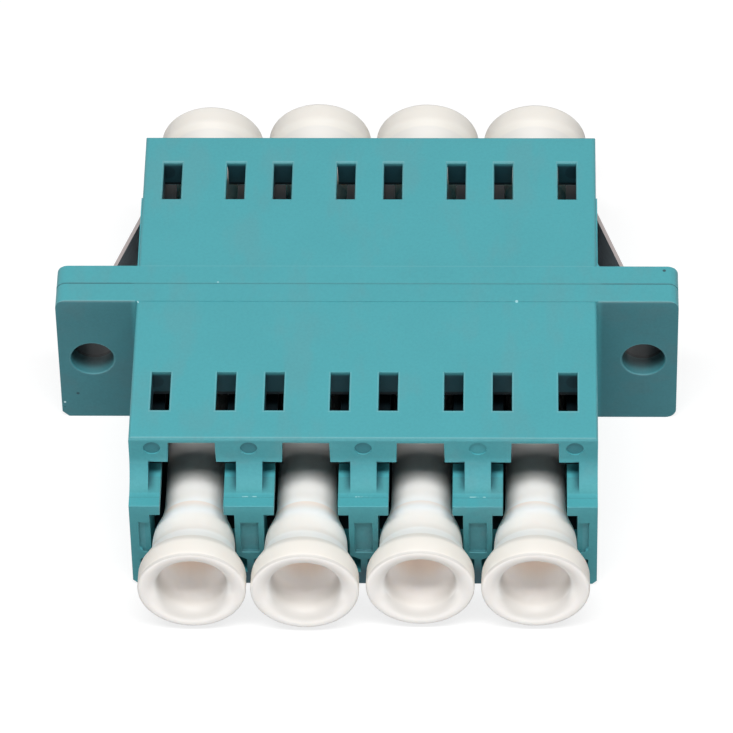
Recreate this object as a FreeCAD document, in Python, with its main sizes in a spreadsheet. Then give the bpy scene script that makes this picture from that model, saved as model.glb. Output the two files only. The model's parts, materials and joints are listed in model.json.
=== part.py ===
"""Quad LC fibre adapter with a screw flange: two welded housing halves that hold the
split sleeves, a dust cap in every port and a spring clip on each short side.

Frame: millimetres, +Z up, X across the ports, -Y towards the front ports.
Origin: on the surface it stands on, under the middle of the weld plane.
"""
import FreeCAD, Part
import math
import os
import re
import Sketcher

PORTS = 4
FRONT, REAR = 1, -1
SAME_PLACE = 1e-4            # two places closer than this count as one

doc = FreeCAD.newDocument("lc_adapter")

# ---------------------------------------------------------------- driving dimensions
SIZES = {
    # housing, across the ports and up
    "port_spacing": 6.25,
    "port_width": 4.65,
    "port_height": 4.57,
    "axis_rise": 2.3,
    "outer_wall": 1.1,
    "bottom_wall": 0.95,
    "neck_width": 3.5,
    "neck_height": 0.73,
    "ear_channel_width": 4.8,
    "ear_channel_height": 1.15,
    "slot_width_low": 2.64,
    "slot_width_high": 2.56,
    "slot_height": 1.45,
    "top_skin": 0.35,
    # housing, along the ports and out from the weld plane
    "half_length": 14.15,
    "scoop_length": 2.3,
    "ledge_length": 0.7,
    "ledge_step": 0.05,
    "septum": 1.5,
    "channel_start": 3.2,
    "edge_round": 0.22,
    "bottom_chamfer": 0.25,
    # flange
    "flange_half": 1.375,
    "flange_proud": 0.05,
    "ear_length": 4.55,
    "ear_chamfer": 0.35,
    "weld_groove": 0.05,
    "screw_hole": 2.4,
    "screw_inset": 1.9,
    "screw_rim": 0.06,
    # latch windows in the top wall, each open to its latch slot
    "window_start": 6.8,
    "window_length": 2.9,
    "window_width": 1.05,
    "window_lap": 0.01,
    # shallow recesses and moulding marks in the end faces
    "recess_width": 0.96,
    "recess_height": 2.36,
    "recess_rise": 1.61,
    "recess_depth": 0.2,
    "wall_recess_width": 0.62,
    "wall_recess_corner": 0.25,
    "relief_width": 0.6,
    "relief_height": 1.35,
    "relief_slope": 0.35,
    "relief_depth": 1.5,
    "pin_mark": 0.94,
    "pin_mark_depth": 0.08,
    "pin_mark_drop": 0.78,
    "pin_mark_offset": 2.17,
    # sleeve barrels and split sleeves
    "barrel_diameter": 2.8,
    "barrel_length": 4.9,
    "barrel_chamfer": 0.15,
    "sleeve_diameter": 1.62,
    "sleeve_bore": 1.25,
    "sleeve_length": 6.8,
    "sleeve_slit": 0.25,
    "sleeve_play": 0.065,
    "sleeve_end_play": 0.1,
    "ferrule_hole": 1.45,
    # dust caps: the stem in the port, then the grip that stands out of it
    "cap_fit": 0.08,
    "cap_stem": 3.36,
    "cap_stem_gap": 0.7,
    "cap_lead": 0.1,
    "cap_collar": 4.34,
    "cap_collar_seat": 0.55,
    "cap_shoulder": 1.1,
    "cap_waist": 4.62,
    "cap_waist_reach": 0.6,
    "cap_flare_round": 4.2,
    "cap_rim": 5.94,
    "cap_rim_length": 1.2,
    "cap_grip": 3.45,
    "cap_lip": 0.2,
    "cap_mouth": 4.0,
    "cap_mouth_edge": 0.25,
    "cap_funnel_end": 2.4,
    "cap_funnel_depth": 4.5,
    "cap_web": 1.3,
    # spring clips in the sides of the rear half
    "side_pad": 0.07,
    "side_pad_end": 7.05,
    "gusset_length": 0.5,
    "gusset_width": 0.25,
    "clip_sheet": 0.2,
    "clip_height": 5.84,
    "clip_play": 0.03,
    "clip_pocket_depth": 0.4,
    "clip_pocket_start": 1.6,
    "clip_pocket_end": 7.95,
    "clip_base_start": 2.2,
    "clip_heel": 7.25,
    "clip_bend": 0.06,
    "clip_tip": 2.975,
    "clip_angle": 18.8,
}

# How far each cap stands off its full seat: across to the right, then outwards.
CAP_SEATING = {
    "front_1": (0.045, 0.04),
    "front_2": (-0.04, 0.13),
    "front_3": (0.005, -0.145),
    "front_4": (0.04, -0.03),
    "rear_1": (0.0, -0.14),
    "rear_2": (0.0, 0.13),
    "rear_3": (0.0, 0.11),
    "rear_4": (0.0, 0.05),
}
for cap, (across, outwards) in CAP_SEATING.items():
    SIZES[f"{cap}_across"] = across
    SIZES[f"{cap}_outwards"] = outwards

sizes = doc.addObject("Spreadsheet::Sheet", "Sizes")
for row, (alias, number) in enumerate(SIZES.items(), start=1):
    sizes.set(f"A{row}", alias)
    sizes.set(f"B{row}", str(number))
    sizes.setAlias(f"B{row}", alias)
doc.recompute()


def size(formula):
    """Words such as 'port_spacing / 2' as a formula on the sheet's cells."""
    return re.sub(r"[a-z_][a-z_0-9]*", lambda m: f"Sizes.{m[0]}" if m[0] in SIZES else m[0], formula)


def value(formula):
    """The number that the same words stand for."""
    return float(sizes.evalExpression(size(formula)))


# Places that several pieces share, each a formula on the driving dimensions.
FIRST_PORT = f"({(PORTS - 1) / 2} * port_spacing)"
HALF_BODY = f"({FIRST_PORT} + port_width / 2 + outer_wall)"
FLOOR = "(flange_proud + bottom_wall)"
AXIS = f"({FLOOR} + axis_rise)"
NECK = f"({FLOOR} + port_height)"
LEDGE = f"({NECK} + neck_height)"
CHANNEL_TOP = f"({LEDGE} + ear_channel_height)"
SLOT_TOP = f"({CHANNEL_TOP} + slot_height)"
BODY_TOP = f"({SLOT_TOP} + top_skin)"
FLANGE_TOP = f"({BODY_TOP} + flange_proud)"
MIDDLE = f"({FLANGE_TOP} / 2)"
HALF_FLANGE = f"({HALF_BODY} + ear_length)"
SCREW_X = f"({HALF_FLANGE} - screw_inset)"
TOP_EDGE = "(half_length - scoop_length)"
SCOOP_ROUND = "(scoop_length - ledge_length)"
POCKET_FLOOR = f"({HALF_BODY} - clip_pocket_depth)"
RECESS_LOW = f"({FLOOR} + recess_rise)"
RECESS_HIGH = f"({RECESS_LOW} + recess_height)"
SLEEVE_SEAT = "(sleeve_length / 2 + sleeve_end_play)"
CAP_END = "(half_length + cap_grip)"


# ---------------------------------------------------------------- sketches
def place_sketch(body, name, plane, offset=None):
    """A sketch on one of the body's own origin planes, moved off it along its normal.
    The normals are +Z for XY, -Y for XZ and +X for YZ."""
    sketch = body.newObject("Sketcher::SketchObject", name)
    support = next(f for f in body.Origin.OriginFeatures if f.Role == f"{plane}_Plane")
    sketch.AttachmentSupport = (support, [""])
    sketch.MapMode = "FlatFace"
    if offset:
        sketch.setExpression(".AttachmentOffset.Base.z", size(offset))
    return sketch


def bind(sketch, constraint, formula):
    """Add a sized constraint and tie it to the sheet."""
    number = sketch.addConstraint(constraint)
    sketch.setExpression(f"Constraints[{number}]", size(formula))


def place_of(point):
    """The vector that a point of two signed formulas stands for."""
    return FreeCAD.Vector(*(sign * value(formula) for sign, formula in point), 0)


def pin(sketch, geometry, end, point):
    """Hold one end of a line, or a circle's centre, at a point of two signed formulas."""
    for direction, axis, (sign, formula) in zip(("DistanceX", "DistanceY"), (-2, -1), point):
        if formula == "0":
            sketch.addConstraint(Sketcher.Constraint("PointOnObject", geometry, end, axis))
            continue
        ends = (-1, 1, geometry, end) if sign > 0 else (geometry, end, -1, 1)
        bind(sketch, Sketcher.Constraint(direction, *ends, value(formula)), formula)


def draw_outline(sketch, points, arcs=None):
    """A closed outline through signed points. arcs maps the number of an edge to its
    radius and to +1 where the arc turns anticlockwise or -1 where it turns clockwise."""
    arcs = arcs or {}
    places = [place_of(point) for point in points]
    ends = []
    for number, start in enumerate(places):
        stop = places[(number + 1) % len(places)]
        if number not in arcs:
            sketch.addGeometry(Part.LineSegment(start, stop), False)
            ends.append((1, 2))
            continue
        radius, turn = arcs[number]
        chord = stop - start
        rise = max(value(radius) ** 2 - chord.Length ** 2 / 4, 0.0) ** 0.5
        side = FreeCAD.Vector(-chord.y, chord.x, 0).normalize() * turn
        centre = (start + stop) / 2 + side * rise
        low, high = (start, stop) if turn > 0 else (stop, start)
        angles = [math.atan2(place.y - centre.y, place.x - centre.x) for place in (low, high)]
        circle = Part.Circle(centre, FreeCAD.Vector(0, 0, 1), value(radius))
        sketch.addGeometry(Part.ArcOfCircle(circle, *angles), False)
        ends.append((1, 2) if turn > 0 else (2, 1))
        bind(sketch, Sketcher.Constraint("Radius", number, value(radius)), radius)
    for number, point in enumerate(points):
        before = (number - 1) % len(points)
        join = Sketcher.Constraint("Coincident", before, ends[before][1], number, ends[number][0])
        sketch.addConstraint(join)
        pin(sketch, number, ends[number][0], point)


def draw_rectangle(sketch, low, high):
    """A rectangle between two signed corner points."""
    (x_low, y_low), (x_high, y_high) = low, high
    draw_outline(sketch, [(x_low, y_low), (x_high, y_low), (x_high, y_high), (x_low, y_high)])


def draw_circle(sketch, centre, diameter):
    """A circle about a signed point."""
    circle = Part.Circle(place_of(centre), FreeCAD.Vector(0, 0, 1), value(diameter) / 2)
    number = sketch.addGeometry(circle, False)
    bind(sketch, Sketcher.Constraint("Diameter", number, value(diameter)), diameter)
    if centre == ((1, "0"), (1, "0")):
        sketch.addConstraint(Sketcher.Constraint("Coincident", number, 3, -1, 1))
    else:
        pin(sketch, number, 3, centre)


# ---------------------------------------------------------------- features
def new_body(label):
    body = doc.addObject("PartDesign::Body", label)
    body.Label = label
    return body


def extrude(body, kind, sketch, length, reverse=False, both_sides=False):
    """A PartDesign Pad or Pocket of a sketch. A Pad follows the sketch's normal and a
    Pocket runs against it, unless reversed."""
    feature = body.newObject(f"PartDesign::{kind}", f"{sketch.Name}_{kind.lower()}")
    feature.Profile = sketch
    feature.setExpression("Length", size(length))
    feature.Reversed = reverse
    if both_sides:
        feature.SideType = "Symmetric"
    return feature


def turn(body, kind, sketch):
    """A full PartDesign Revolution or Groove about the sketch's own first axis."""
    feature = body.newObject(f"PartDesign::{kind}", f"{sketch.Name}_{kind.lower()}")
    feature.Profile = sketch
    feature.ReferenceAxis = (sketch, ["Axis0"])
    feature.Angle = 360.0
    return feature


def draw_axis(sketch, height):
    """A construction line along the sketch's X, to turn a profile about."""
    start, stop = ((-1, "1"), (1, height)), ((1, "1"), (1, height))
    number = sketch.addGeometry(Part.LineSegment(place_of(start), place_of(stop)), True)
    pin(sketch, number, 1, start)
    pin(sketch, number, 2, stop)


def repeat(body, features, count, pitch, name):
    """Copies of features along X, one pitch apart."""
    pattern = body.newObject("PartDesign::LinearPattern", name)
    pattern.Originals = features
    axis = next(f for f in body.Origin.OriginFeatures if f.Role == "X_Axis")
    pattern.Direction = (axis, [""])
    pattern.setExpression("Length", size(f"{count - 1} * {pitch}"))
    pattern.Occurrences = count
    body.Tip = pattern


def soften(body, kind, base, test, formula, name):
    """A PartDesign Fillet or Chamfer on the edges of the feature before it whose
    bounding box passes the test."""
    doc.recompute()
    edges = [f"Edge{i}" for i, edge in enumerate(base.Shape.Edges, start=1) if test(edge.BoundBox)]
    feature = body.newObject(f"PartDesign::{kind}", name)
    feature.Base = (base, edges)
    feature.setExpression("Radius" if kind == "Fillet" else "Size", size(formula))
    body.Tip = feature
    return feature


def near(number, formula):
    return abs(number - value(formula)) < SAME_PLACE


# ---------------------------------------------------------------- housing halves
def housing_half(label, side):
    """One moulded half, from the weld plane out to its ports. side is FRONT or REAR."""
    body = new_body(label)
    y = -side                    # sign of this half's points in a YZ or XY sketch
    forward = side == FRONT      # an XZ sketch's normal points the way this half does

    def level(name, distance=None):
        """An XZ sketch at a distance out from the weld plane."""
        return place_sketch(body, name, "XZ", distance and f"{side} * {distance}")

    def cut_out(sketch, length):
        """A pocket that runs outwards, away from the weld plane."""
        return extrude(body, "Pocket", sketch, length, reverse=forward)

    def cut_in(sketch, length):
        """A pocket that runs inwards, towards the weld plane."""
        return extrude(body, "Pocket", sketch, length, reverse=not forward)

    # Body block. Under its top edge the end steps out as a scoop, which ends in a fine
    # step up to the ledge.
    profile = place_sketch(body, f"{label}_profile", "YZ")
    draw_outline(profile, [
        ((y, "0"), (1, "flange_proud")),
        ((y, "half_length"), (1, "flange_proud")),
        ((y, "half_length"), (1, LEDGE)),
        ((y, "half_length - ledge_length"), (1, LEDGE)),
        ((y, "half_length - ledge_length"), (1, f"{LEDGE} - ledge_step")),
        ((y, TOP_EDGE), (1, f"{LEDGE} - ledge_step + {SCOOP_ROUND}")),
        ((y, TOP_EDGE), (1, BODY_TOP)),
        ((y, "0"), (1, BODY_TOP)),
    ], {4: (SCOOP_ROUND, side)})
    block = extrude(body, "Pad", profile, f"2 * {HALF_BODY}", both_sides=True)
    top = soften(body, "Fillet", block,
                 lambda box: near(box.ZMin, BODY_TOP) and max(abs(box.YMin), abs(box.YMax)) > SAME_PLACE,
                 "edge_round", f"{label}_top_round")
    soften(body, "Chamfer", top,
           lambda box: near(box.ZMax, "flange_proud") and box.XLength < SAME_PLACE,
           "bottom_chamfer", f"{label}_low_chamfer")

    # Flange with chamfered corners, and a fine groove round it where the halves are welded.
    flange = level(f"{label}_flange")
    ear_x, ear_z = f"{HALF_FLANGE} - ear_chamfer", f"{FLANGE_TOP} - ear_chamfer"
    draw_outline(flange, [
        ((-1, ear_x), (1, "0")), ((1, ear_x), (1, "0")),
        ((1, HALF_FLANGE), (1, "ear_chamfer")), ((1, HALF_FLANGE), (1, ear_z)),
        ((1, ear_x), (1, FLANGE_TOP)), ((-1, ear_x), (1, FLANGE_TOP)),
        ((-1, HALF_FLANGE), (1, ear_z)), ((-1, HALF_FLANGE), (1, "ear_chamfer")),
    ])
    plate = extrude(body, "Pad", flange, "flange_half", reverse=not forward)
    soften(body, "Chamfer", plate, lambda box: max(abs(box.YMin), abs(box.YMax)) < SAME_PLACE,
           "weld_groove", f"{label}_weld_groove")

    if side == REAR:
        seat_clips(body)
    hollow_ports(body, label, y, level, cut_out, cut_in)
    add_barrels(body, label, y)
    mark_ends(body, label, level, cut_in)

    # A screw hole in each ear, with a small chamfer round its outer end.
    for name, sign in (("left", -1), ("right", 1)):
        screw = level(f"{label}_{name}_screw")
        draw_circle(screw, ((sign, SCREW_X), (1, MIDDLE)), "screw_hole")
        hole = cut_out(screw, "flange_half")
        soften(body, "Chamfer", hole,
               lambda box: near(box.XLength, "screw_hole") and near(-side * box.YMax, "flange_half")
               and near(sign * box.Center.x, SCREW_X),
               "screw_rim", f"{label}_{name}_screw_rim")


def hollow_ports(body, label, y, level, cut_out, cut_in):
    """The four ports, each drawn once at the left end and repeated."""
    def across(half_width, reach):
        """A point's X, half a width to the left or right of the leftmost port's middle."""
        return (-1, f"{FIRST_PORT} {'+' if reach < 0 else '-'} {half_width}")

    def tube(name, start, half_low, half_high, low, high):
        sketch = level(f"{label}_{name}", start)
        draw_outline(sketch, [
            (across(half_low, -1), (1, low)), (across(half_low, 1), (1, low)),
            (across(half_high, 1), (1, high)), (across(half_high, -1), (1, high)),
        ])
        return cut_out(sketch, f"half_length - {start}")

    half_port, half_neck = "port_width / 2", "neck_width / 2"
    half_channel = "ear_channel_width / 2"
    hollows = [
        tube("port", "septum", half_port, half_port, FLOOR, NECK),
        tube("neck", "channel_start", half_neck, half_neck, NECK, LEDGE),
        tube("ear_channel", "channel_start", half_channel, half_channel, LEDGE, CHANNEL_TOP),
        tube("latch_slot", "window_start", "slot_width_low / 2", "slot_width_high / 2",
             CHANNEL_TOP, SLOT_TOP),
    ]

    # Two latch windows in the top wall, each open to the side of the slot below it.
    inner = "(slot_width_high / 2 - window_lap)"
    for name, reach in (("left", -1), ("right", 1)):
        window = place_sketch(body, f"{label}_{name}_window", "XY", BODY_TOP)
        draw_rectangle(window, (across(inner, reach), (y, "window_start")),
                       (across(f"({inner} + window_width)", reach),
                        (y, "window_start + window_length")))
        hollows.append(extrude(body, "Pocket", window, "top_skin + slot_height"))

    # Wider mouth beside the port's floor, which leaves a thin web between two ports.
    wide = "(port_width / 2 + relief_width)"
    slope_low = f"{FLOOR} + relief_height - relief_slope"
    relief = level(f"{label}_relief", "half_length")
    draw_outline(relief, [
        (across(wide, -1), (1, FLOOR)), (across(wide, 1), (1, FLOOR)),
        (across(wide, 1), (1, slope_low)), (across(half_port, 1), (1, f"{FLOOR} + relief_height")),
        (across(half_port, -1), (1, f"{FLOOR} + relief_height")), (across(wide, -1), (1, slope_low)),
    ])
    hollows.append(cut_in(relief, "relief_depth"))
    repeat(body, hollows, PORTS, "port_spacing", f"{label}_ports")


def add_barrels(body, label, y):
    """The four sleeve barrels: each is turned, then bored for its sleeve and a ferrule."""
    outside = place_sketch(body, f"{label}_barrel", "YZ", f"-1 * {FIRST_PORT}")
    top = f"{AXIS} + barrel_diameter / 2"
    draw_outline(outside, [
        ((y, "septum / 2"), (1, AXIS)),
        ((y, "barrel_length"), (1, AXIS)),
        ((y, "barrel_length"), (1, top)),
        ((y, "septum / 2"), (1, top)),
    ])
    draw_axis(outside, AXIS)
    barrel = turn(body, "Revolution", outside)
    inside = place_sketch(body, f"{label}_bore", "YZ", f"-1 * {FIRST_PORT}")
    hole = f"{AXIS} + ferrule_hole / 2"
    pocket = f"{AXIS} + sleeve_diameter / 2 + sleeve_play"
    draw_outline(inside, [
        ((y, "0"), (1, AXIS)),
        ((y, "barrel_length"), (1, AXIS)),
        ((y, "barrel_length"), (1, f"{hole} + barrel_chamfer")),
        ((y, "barrel_length - barrel_chamfer"), (1, hole)),
        ((y, SLEEVE_SEAT), (1, hole)),
        ((y, SLEEVE_SEAT), (1, pocket)),
        ((y, "0"), (1, pocket)),
    ])
    draw_axis(inside, AXIS)
    bore = turn(body, "Groove", inside)
    repeat(body, [barrel, bore], PORTS, "port_spacing", f"{label}_barrels")


def mark_ends(body, label, level, cut_in):
    """Recesses in the ends of the walls, and round moulding marks under the top edge."""
    first_divider = f"({(PORTS - 2) / 2} * port_spacing)"
    mark_height = f"{BODY_TOP} - pin_mark_drop"

    def recess(name, points):
        sketch = level(f"{label}_{name}_recess", "half_length")
        draw_outline(sketch, points)
        return cut_in(sketch, "recess_depth")

    def mark(name, x):
        sketch = level(f"{label}_{name}_mark", TOP_EDGE)
        draw_circle(sketch, (x, (1, mark_height)), "pin_mark")
        return cut_in(sketch, "pin_mark_depth")

    left, right = (-1, f"{first_divider} + recess_width / 2"), (-1, f"{first_divider} - recess_width / 2")
    repeat(body, [
        recess("divider", [(left, (1, RECESS_LOW)), (right, (1, RECESS_LOW)),
                           (right, (1, RECESS_HIGH)), (left, (1, RECESS_HIGH))]),
        mark("divider", (-1, first_divider)),
    ], PORTS - 1, "port_spacing", f"{label}_dividers")
    inner = f"{FIRST_PORT} + port_width / 2"
    outer = f"{inner} + wall_recess_width"
    for name, sign in (("left", -1), ("right", 1)):
        recess(name, [
            ((sign, inner), (1, RECESS_LOW)),
            ((sign, f"{outer} - wall_recess_corner"), (1, RECESS_LOW)),
            ((sign, outer), (1, f"{RECESS_LOW} + wall_recess_corner")),
            ((sign, outer), (1, RECESS_HIGH)),
            ((sign, inner), (1, RECESS_HIGH)),
        ])
        mark(name, (sign, f"{FIRST_PORT} + pin_mark_offset"))


def seat_clips(body):
    """Rear half only: a raised pad on each side, the clip's pocket in it and a gusset."""
    face = f"{HALF_BODY} + side_pad"
    for name, sign in (("left", -1), ("right", 1)):
        pad = place_sketch(body, f"{name}_side_pad", "XZ", "-1 * flange_half")
        draw_rectangle(pad, ((sign, f"{HALF_BODY} - side_pad"), (1, "flange_proud + bottom_chamfer")),
                       ((sign, face), (1, f"{BODY_TOP} - edge_round")))
        extrude(body, "Pad", pad, "side_pad_end - flange_half", reverse=True)
    gusset = place_sketch(body, "right_gusset", "XY", "flange_proud + bottom_chamfer")
    draw_outline(gusset, [
        ((1, HALF_BODY), (1, "flange_half")),
        ((1, f"{face} + gusset_width"), (1, "flange_half")),
        ((1, face), (1, "flange_half + gusset_length")),
        ((1, HALF_BODY), (1, "flange_half + gusset_length")),
    ])
    extrude(body, "Pad", gusset, f"{BODY_TOP} - edge_round - flange_proud - bottom_chamfer")
    for name, sign in (("left", -1), ("right", 1)):
        pocket = place_sketch(body, f"{name}_clip_pocket", "XZ", "-1 * clip_pocket_start")
        draw_rectangle(pocket,
                       ((sign, POCKET_FLOOR), (1, f"{MIDDLE} - clip_height / 2 - clip_play")),
                       ((sign, f"{face} + gusset_width"),
                        (1, f"{MIDDLE} + clip_height / 2 + clip_play")))
        extrude(body, "Pocket", pocket, "clip_pocket_end - clip_pocket_start")


# ---------------------------------------------------------------- pieces in the ports
def move_to_port(body, port, side, across="0", outwards="0"):
    """Carry a body drawn about the port's axis to its port, turned round for the rear."""
    half_turn = FreeCAD.Rotation(FreeCAD.Vector(0, 0, 1), 0 if side == FRONT else 180)
    body.Placement = FreeCAD.Placement(FreeCAD.Vector(0, 0, 0), half_turn)
    body.setExpression(".Placement.Base.x", size(f"{port - (PORTS + 1) / 2} * port_spacing + {across}"))
    body.setExpression(".Placement.Base.y", size(f"{-side} * {outwards}"))
    body.setExpression(".Placement.Base.z", size(AXIS))


def split_sleeve(label, port):
    """Slit ceramic tube that lines up two ferrules, free between its two barrels."""
    body = new_body(label)
    ring = place_sketch(body, f"{label}_ring", "XZ")
    draw_circle(ring, ((1, "0"), (1, "0")), "sleeve_diameter")
    draw_circle(ring, ((1, "0"), (1, "0")), "sleeve_bore")
    extrude(body, "Pad", ring, "sleeve_length", both_sides=True)
    slit = place_sketch(body, f"{label}_slit", "XZ")
    draw_rectangle(slit, ((-1, "sleeve_slit / 2"), (1, "sleeve_bore / 4")),
                   ((1, "sleeve_slit / 2"), (1, "sleeve_diameter")))
    extrude(body, "Pocket", slit, "sleeve_length", both_sides=True)
    move_to_port(body, port, FRONT)


def dust_cap(label, port, side):
    """Soft moulded cap: its stem slips over the barrel, its flared rim is the grip."""
    body = new_body(label)
    half = place_sketch(body, f"{label}_half", "YZ")
    bore = "(barrel_diameter / 2 + cap_fit)"
    start = "(septum + cap_stem_gap)"
    collar = "(half_length - cap_collar_seat)"
    funnel_floor = f"({CAP_END} - cap_funnel_depth)"
    draw_outline(half, [
        ((-1, start), (1, f"{bore} + cap_lead")),
        ((-1, start), (1, "cap_stem / 2")),
        ((-1, f"{collar} - cap_shoulder"), (1, "cap_stem / 2")),
        ((-1, collar), (1, "cap_collar / 2")),
        ((-1, "half_length + cap_waist_reach"), (1, "cap_waist / 2")),
        ((-1, f"{CAP_END} - cap_rim_length"), (1, "cap_rim / 2")),
        ((-1, f"{CAP_END} - cap_lip"), (1, "cap_rim / 2")),
        ((-1, CAP_END), (1, "cap_rim / 2 - cap_lip")),
        ((-1, CAP_END), (1, "cap_mouth / 2 + cap_mouth_edge")),
        ((-1, f"{CAP_END} - cap_mouth_edge"), (1, "cap_mouth / 2")),
        ((-1, funnel_floor), (1, "cap_funnel_end / 2")),
        ((-1, funnel_floor), (1, "0")),
        ((-1, f"{funnel_floor} - cap_web"), (1, "0")),
        ((-1, f"{funnel_floor} - cap_web"), (1, bore)),
        ((-1, f"{start} + cap_lead"), (1, bore)),
    ], {4: ("cap_flare_round", 1)})
    draw_axis(half, "0")
    turn(body, "Revolution", half)
    seat = f"{'front' if side == FRONT else 'rear'}_{port}"
    if seat in CAP_SEATING:
        move_to_port(body, port, side, f"{seat}_across", f"{seat}_outwards")
    else:
        move_to_port(body, port, side)


# ---------------------------------------------------------------- spring clips
def spring_clip(label, sign):
    """Sheet spring folded back on itself: its base lies on the pocket's floor, and its
    wing flares towards the flange until its tip stands one panel behind it."""
    body = new_body(label)
    sketch = place_sketch(body, f"{label}_outline", "XY", f"{MIDDLE} - clip_height / 2")
    centre = f"({POCKET_FLOOR} + clip_sheet + clip_bend)"
    outer = "(clip_bend + clip_sheet)"
    reach_in = f"((clip_heel - clip_tip + clip_bend * sin(clip_angle)) / cos(clip_angle))"
    reach_out = f"((clip_heel - clip_tip + {outer} * sin(clip_angle)) / cos(clip_angle))"
    draw_outline(sketch, [
        ((sign, POCKET_FLOOR), (1, "clip_base_start")),
        ((sign, f"{POCKET_FLOOR} + clip_sheet"), (1, "clip_base_start")),
        ((sign, f"{POCKET_FLOOR} + clip_sheet"), (1, "clip_heel")),
        ((sign, f"{centre} + clip_bend * cos(clip_angle)"), (1, "clip_heel + clip_bend * sin(clip_angle)")),
        ((sign, f"{centre} + clip_bend * cos(clip_angle) + {reach_in} * sin(clip_angle)"), (1, "clip_tip")),
        ((sign, f"{centre} + {outer} * cos(clip_angle) + {reach_out} * sin(clip_angle)"), (1, "clip_tip")),
        ((sign, f"{centre} + {outer} * cos(clip_angle)"), (1, f"clip_heel + {outer} * sin(clip_angle)")),
        ((sign, POCKET_FLOOR), (1, "clip_heel")),
    ], {2: ("clip_bend", -sign), 6: (outer, sign)})
    extrude(body, "Pad", sketch, "clip_height")


# ---------------------------------------------------------------- the whole part
housing_half("housing_front", FRONT)
housing_half("housing_rear", REAR)
for port in range(1, PORTS + 1):
    split_sleeve(f"split_sleeve_{port}", port)
    dust_cap(f"dust_cap_front_{port}", port, FRONT)
    dust_cap(f"dust_cap_rear_{port}", port, REAR)
spring_clip("side_clip_left", -1)
spring_clip("side_clip_right", 1)
doc.recompute()

failed = [o.Name for o in doc.Objects if "Invalid" in o.State or "Error" in o.State]
if failed:
    raise SystemExit(f"failed features: {failed}")
bodies = [o for o in doc.Objects if o.TypeId == "PartDesign::Body"]
for body in bodies:
    shape = body.Shape
    if shape.isNull() or not shape.isValid() or len(shape.Solids) != 1:
        raise SystemExit(f"{body.Label} is not one valid solid")
os.makedirs("parts", exist_ok=True)
for body in bodies:
    body.Shape.exportStep(os.path.join("parts", f"{body.Label}.step"))
    print(f"{body.Label}: {body.Shape.Volume:.2f} mm3")
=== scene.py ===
"""Dresses the packed fibre adapter: moulded housings, soft caps, spring clips, sleeves and
the light table that it lies on. All lengths are in metres, in the adapter's own frame."""

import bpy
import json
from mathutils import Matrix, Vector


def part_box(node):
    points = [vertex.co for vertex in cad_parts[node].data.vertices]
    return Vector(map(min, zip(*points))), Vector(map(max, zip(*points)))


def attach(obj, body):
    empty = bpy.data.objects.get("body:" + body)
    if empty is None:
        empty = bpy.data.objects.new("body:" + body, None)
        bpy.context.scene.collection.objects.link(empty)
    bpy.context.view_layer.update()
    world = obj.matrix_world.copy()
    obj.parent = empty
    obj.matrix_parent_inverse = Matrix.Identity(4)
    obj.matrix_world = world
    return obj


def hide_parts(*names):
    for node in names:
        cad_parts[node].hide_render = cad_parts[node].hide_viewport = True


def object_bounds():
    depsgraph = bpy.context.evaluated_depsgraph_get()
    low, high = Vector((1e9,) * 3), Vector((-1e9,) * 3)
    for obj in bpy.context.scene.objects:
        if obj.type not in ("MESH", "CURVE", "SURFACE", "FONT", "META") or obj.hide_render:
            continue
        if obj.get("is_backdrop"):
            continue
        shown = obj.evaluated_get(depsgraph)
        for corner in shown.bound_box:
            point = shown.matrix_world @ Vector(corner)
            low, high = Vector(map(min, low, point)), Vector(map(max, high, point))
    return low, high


bl_info = {
    "name": "Fibre adapter dressing",
    "version": (1, 0, 0),
    "blender": (4, 5, 0),
    "location": "View3D > Sidebar > Adapter",
    "description": "Finishes the adapter's housings, caps, clips and sleeves and sets its stage",
    "category": "Object",
}

import json
import math

import bmesh
import bpy
from bpy.props import FloatProperty, FloatVectorProperty, IntProperty, PointerProperty
from mathutils import Matrix, Vector

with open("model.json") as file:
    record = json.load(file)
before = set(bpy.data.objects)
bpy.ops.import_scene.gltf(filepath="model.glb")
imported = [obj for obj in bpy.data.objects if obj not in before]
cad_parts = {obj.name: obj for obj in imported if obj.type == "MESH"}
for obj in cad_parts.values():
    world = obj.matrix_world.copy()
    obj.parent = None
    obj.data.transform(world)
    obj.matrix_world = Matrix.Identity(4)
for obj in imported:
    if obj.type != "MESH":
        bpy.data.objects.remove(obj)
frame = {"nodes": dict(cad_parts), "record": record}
CAD_LOW, CAD_HIGH = (Vector(corner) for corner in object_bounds())
NODES = frame["nodes"]
BODIES = frame["record"]["behaviour"]["bodies"]
BODY_OF = {node: body for body, nodes in BODIES.items() for node in nodes}
HOUSINGS = [node for node in NODES if node.startswith("housing")]
CAPS = sorted(node for node in NODES if node.startswith("dust_cap"))
CLIPS = [node for node in NODES if node.startswith("side_clip")]
SLEEVES = [node for node in NODES if node.startswith("split_sleeve")]
MM = 0.001
MERGE = 0.0005 * MM                     # points nearer than this are one
FLAT = math.radians(0.5)                # faces turned less than this are one
CREASE = math.radians(35)               # an edge turned further than this stays sharp
SQUARE = 1.0                            # an edge turned further than this is a square one
LONG_EDGE = 0.35 * MM
FINE_DETAIL = 0.15 * MM
EAR_CORNERS = 16.2 * MM                 # the flange's corners lie further out than this
EAR_MIDDLE = 6.0 * MM                   # a corner below and left of this is the lower left one
EAR_THICK = 0.4 * MM                    # an edge through an ear is longer than this
HALF_TURN = (math.radians(30), math.radians(60))        # how far a cut corner's edge turns
SOFT_EDGE = 0.03 * MM                   # how wide a colour's edge is where nothing else is said
WHITE = (1.0, 1.0, 1.0, 1.0)


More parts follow.
